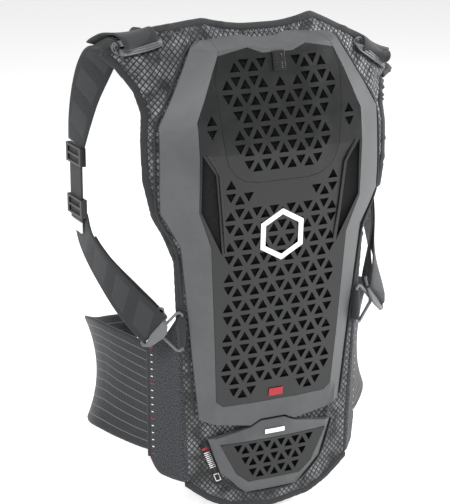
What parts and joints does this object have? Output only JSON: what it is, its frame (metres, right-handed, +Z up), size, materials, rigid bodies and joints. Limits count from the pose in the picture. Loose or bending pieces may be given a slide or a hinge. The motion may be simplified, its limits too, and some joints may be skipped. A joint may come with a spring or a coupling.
{
  "type": "back protector",
  "caption": "Motorcycle back protector: vented moulded guard and tail plate on a padded mesh carrier, with buckled shoulder straps and an elastic kidney belt",
  "frame": {"origin": "on the wearer's back at the waist: the midline of the liner's inner face, 150 mm above the hem", "axes": "+Z up the spine, +Y the way the wearer faces (into the wearer), +X to the wearer's right"},
  "size_m": [0.3714, 0.221, 0.5659],
  "materials": {
    "mesh_fabric": "quilted mesh knit, slight sheen",
    "binding_tape": "ribbed elastic tape",
    "spacer_mesh": "open spacer mesh",
    "foam": "closed-cell foam, matte",
    "grey_shell": "fine moulded texture, matte",
    "black_shell": "satin moulded plastic",
    "white_print": "satin white",
    "red_print": "satin red",
    "label_cloth": "smooth woven label",
    "strap_webbing": "fine elastic webbing with tonal blocks",
    "grey_hardware": "satin nylon",
    "black_hardware": "satin nylon",
    "neoprene": "heathered smooth knit on neoprene",
    "elastic_band": "ribbed elastic with fine pale lines",
    "closure_fleece": "hook-and-loop"
  },
  "bodies": {
    "carrier": {"back_panel": "mesh_fabric", "strap_slot_left": "grey_hardware", "strap_slot_right": "grey_hardware", "armhole_binding_left": "binding_tape", "armhole_binding_right": "binding_tape", "neck_binding": "binding_tape", "liner_pad_left": "spacer_mesh", "liner_pad_right": "spacer_mesh", "guard_shell": "grey_shell", "insert_rim": "grey_shell", "main_grille": "black_shell", "insert_grille": "black_shell", "foam_core": "foam", "slot_fin_left": "black_shell", "slot_fin_right": "black_shell", "emblem": "white_print", "red_badge": "red_print", "insert_tab": "black_shell", "strap_loop_left": "strap_webbing", "strap_loop_right": "strap_webbing", "ring_tie_left": "binding_tape", "ring_tie_right": "binding_tape"},
    "tail": {"tail_panel": "mesh_fabric", "hem_binding": "binding_tape", "tail_shell": "grey_shell", "tail_grille": "black_shell", "tail_foam": "foam", "tail_badge": "white_print", "care_label": "label_cloth"},
    "belt_left": {"belt_panel_left": "neoprene", "belt_band_left": "elastic_band", "belt_closure_left": "closure_fleece"},
    "strap_left": {"strap_upper_left": "strap_webbing", "strap_flap_left": "strap_webbing", "webbing_left": "strap_webbing", "webbing_tab_left": "white_print", "buckle_upper_left": "black_hardware"},
    "adjuster_left": {"buckle_lower_left": "black_hardware", "strap_lower_left": "strap_webbing"},
    "hook_left": {"strap_hook_left": "grey_hardware"},
    "ring_left": {"side_ring_left": "grey_hardware"},
    "belt_right": {"belt_panel_right": "neoprene", "belt_band_right": "elastic_band", "belt_closure_right": "closure_fleece"},
    "strap_right": {"strap_upper_right": "strap_webbing", "strap_flap_right": "strap_webbing", "webbing_right": "strap_webbing", "webbing_tab_right": "white_print", "buckle_upper_right": "black_hardware"},
    "adjuster_right": {"buckle_lower_right": "black_hardware", "strap_lower_right": "strap_webbing"},
    "hook_right": {"strap_hook_right": "grey_hardware"},
    "ring_right": {"side_ring_right": "grey_hardware"}
  },
  "joints": [
    {"name": "tail_flex", "type": "hinge", "parent": "carrier", "child": "tail", "pos_m": [0, -0.0061, -0.04], "axis": [1, 0, 0], "range_deg": [-6, 8], "stiffness_Nm_per_rad": 4},
    {"name": "belt_left_swing", "type": "hinge", "parent": "carrier", "child": "belt_left", "pos_m": [-0.10353, -0.0039, -0.028], "axis": [-0.0445, 0, 0.999], "range_deg": [-8, 45]},
    {"name": "strap_left_swing", "type": "hinge", "parent": "carrier", "child": "strap_left", "pos_m": [-0.149, 0.0471, 0.393], "axis": [0.9405, -0.2021, 0.2731], "range_deg": [-30, 0]},
    {"name": "strap_left_length", "type": "slide", "parent": "strap_left", "child": "adjuster_left", "axis": [0, 0, 1], "range_m": [0, 0.03]},
    {"name": "hook_left_turn", "type": "hinge", "parent": "adjuster_left", "child": "hook_left", "pos_m": [-0.1351, -0.0009, 0.0818], "axis": [-0.5058, 0, -0.8627], "range_deg": [0, 50]},
    {"name": "ring_left_turn", "type": "hinge", "parent": "carrier", "child": "ring_left", "pos_m": [-0.1065, -0.0123, 0.076], "axis": [0, 0, -1], "range_deg": [0, 15]},
    {"name": "belt_right_swing", "type": "hinge", "parent": "carrier", "child": "belt_right", "pos_m": [0.10353, -0.0039, -0.028], "axis": [-0.0445, 0, -0.999], "range_deg": [-8, 45]},
    {"name": "strap_right_swing", "type": "hinge", "parent": "carrier", "child": "strap_right", "pos_m": [0.149, 0.0471, 0.3572], "axis": [0.8105, 0.1741, -0.5593], "range_deg": [-30, 0]},
    {"name": "strap_right_length", "type": "slide", "parent": "strap_right", "child": "adjuster_right", "axis": [0, 0, 1], "range_m": [0, 0.03]},
    {"name": "hook_right_turn", "type": "hinge", "parent": "adjuster_right", "child": "hook_right", "pos_m": [0.1351, -0.0009, 0.0818], "axis": [-0.5058, 0, 0.8627], "range_deg": [0, 50]},
    {"name": "ring_right_turn", "type": "hinge", "parent": "carrier", "child": "ring_right", "pos_m": [0.1065, -0.0123, 0.076], "axis": [0, 0, 1], "range_deg": [0, 15]}
  ]
}
